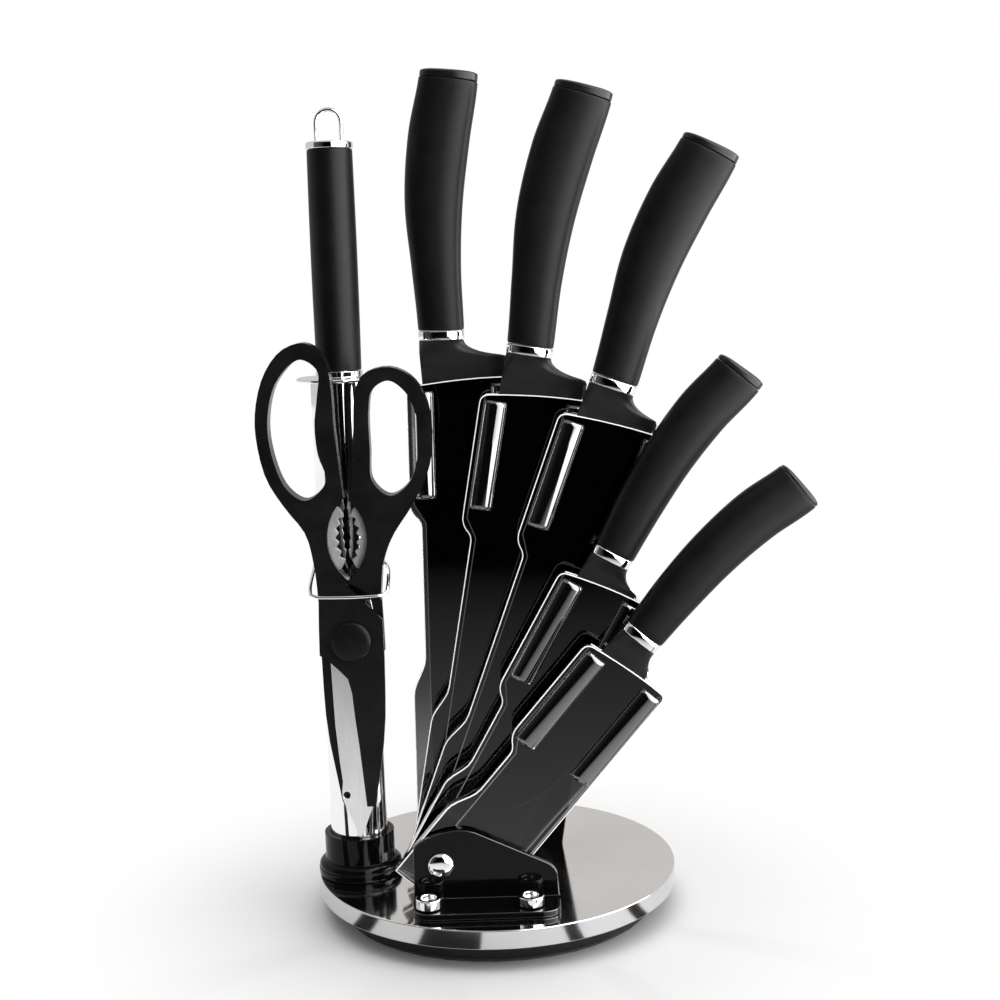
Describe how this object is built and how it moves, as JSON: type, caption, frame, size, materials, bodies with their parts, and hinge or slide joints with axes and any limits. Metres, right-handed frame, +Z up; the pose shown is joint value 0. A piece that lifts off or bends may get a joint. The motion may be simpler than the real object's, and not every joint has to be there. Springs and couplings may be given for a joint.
{
  "type": "knife stand with knives",
  "caption": "Fan of sheathed kitchen knives bolted on a round steel turntable, with a sharpening steel in a chrome tube and scissors in a wire loop.",
  "frame": {"origin": "centre of the foot's underside, on the turntable's axis, at the level of the tabletop", "axes": "+Z up along the turntable's axis, -Y towards the user, +X to the user's right, the way the knives lean"},
  "size_m": [0.2453, 0.17, 0.3932],
  "materials": {
    "foot_black": "fine moulded texture, matt black",
    "pad_foam": "closed-cell foam rubber, dark grey",
    "glide_white": "smooth acetal, off-white",
    "core_black": "plain moulded black",
    "brushed_stainless": "mirror-bright stainless with a fine circular brushing",
    "bracket_black": "polished gloss black",
    "chrome": "bright chrome plate",
    "plain_steel": "ground and polished stainless",
    "zinc_steel": "bright zinc plate",
    "matt_black": "fine matt black",
    "smoked_acrylic": "transparent smoked acrylic with polished edges",
    "blade_coating": "black non-stick coating over steel, satin",
    "soft_touch": "black soft-touch coating, silky",
    "cap_black": "smooth black, semi-gloss"
  },
  "bodies": {
    "foot": {"base_foot": "foot_black", "non_slip_pad": "pad_foam", "glide_ring": "glide_white"},
    "turntable": {"disc_shell": "brushed_stainless", "disc_core": "core_black", "spindle_bolt": "zinc_steel", "spindle_nut": "zinc_steel", "front_bracket": "bracket_black", "rear_bracket": "bracket_black", "front_screw_left": "chrome", "front_screw_right": "chrome", "rear_screw_left": "chrome", "rear_screw_right": "chrome", "pivot_bolt": "chrome", "pivot_nut": "zinc_steel", "fan_spacer_1": "matt_black", "fan_spacer_2": "matt_black", "fan_spacer_3": "matt_black", "fan_spacer_4": "matt_black", "chef_sheath": "smoked_acrylic", "bread_sheath": "smoked_acrylic", "slicing_sheath": "smoked_acrylic", "utility_sheath": "smoked_acrylic", "paring_sheath": "smoked_acrylic", "tube_socket": "bracket_black", "steel_tube": "chrome", "scissors_wire_loop": "chrome"},
    "chef_knife": {"chef_blade": "blade_coating", "chef_collar": "chrome", "chef_handle": "soft_touch", "chef_end_cap": "cap_black"},
    "bread_knife": {"bread_blade": "blade_coating", "bread_collar": "chrome", "bread_handle": "soft_touch", "bread_end_cap": "cap_black"},
    "slicing_knife": {"slicing_blade": "blade_coating", "slicing_collar": "chrome", "slicing_handle": "soft_touch", "slicing_end_cap": "cap_black"},
    "utility_knife": {"utility_blade": "blade_coating", "utility_collar": "chrome", "utility_handle": "soft_touch", "utility_end_cap": "cap_black"},
    "paring_knife": {"paring_blade": "blade_coating", "paring_collar": "chrome", "paring_handle": "soft_touch", "paring_end_cap": "cap_black"},
    "steel": {"steel_guard": "chrome", "steel_handle": "soft_touch", "steel_end_cap": "chrome", "steel_rod": "plain_steel", "steel_loop": "chrome"},
    "scissors": {"scissors_pivot_pin": "zinc_steel", "scissors_pivot_cap": "matt_black"},
    "scissors_front": {"scissors_front_handle": "matt_black", "scissors_front_blade": "plain_steel", "scissors_front_jaw": "plain_steel"},
    "scissors_rear": {"scissors_rear_handle": "matt_black", "scissors_rear_blade": "plain_steel", "scissors_rear_jaw": "plain_steel"}
  },
  "joints": [
    {"name": "turntable_spin", "type": "hinge", "parent": "foot", "child": "turntable", "pos_m": [0, 0, 0.0102], "axis": [0, 0, 1], "continuous": true},
    {"name": "chef_knife_slide", "type": "slide", "parent": "turntable", "child": "chef_knife", "axis": [0.0087, 0, 1], "range_m": [0, 0.19]},
    {"name": "bread_knife_slide", "type": "slide", "parent": "turntable", "child": "bread_knife", "axis": [0.1771, 0, 0.9842], "range_m": [0, 0.19]},
    {"name": "slicing_knife_slide", "type": "slide", "parent": "turntable", "child": "slicing_knife", "axis": [0.3469, 0, 0.9379], "range_m": [0, 0.19]},
    {"name": "utility_knife_slide", "type": "slide", "parent": "turntable", "child": "utility_knife", "axis": [0.4909, 0, 0.8712], "range_m": [0, 0.125]},
    {"name": "paring_knife_slide", "type": "slide", "parent": "turntable", "child": "paring_knife", "axis": [0.6508, 0, 0.7593], "range_m": [0, 0.095]},
    {"name": "steel_slide", "type": "slide", "parent": "turntable", "child": "steel", "axis": [0, 0, 1], "range_m": [0, 0.2]},
    {"name": "scissors_lift", "type": "slide", "parent": "turntable", "child": "scissors", "axis": [0, 0, 1], "range_m": [0, 0.125]},
    {"name": "scissors_front_open", "type": "hinge", "parent": "scissors", "child": "scissors_front", "pos_m": [-0.0619, -0.0332, 0.1372], "axis": [0, -1, 0], "range_deg": [0, 2]},
    {"name": "scissors_rear_open", "type": "hinge", "parent": "scissors", "child": "scissors_rear", "pos_m": [-0.0619, -0.0332, 0.1372], "axis": [0, -1, 0], "range_deg": [-2, 0]}
  ],
  "couplings": [
    {"joint": "scissors_rear_open", "follows": "scissors_front_open", "ratio": -1}
  ]
}
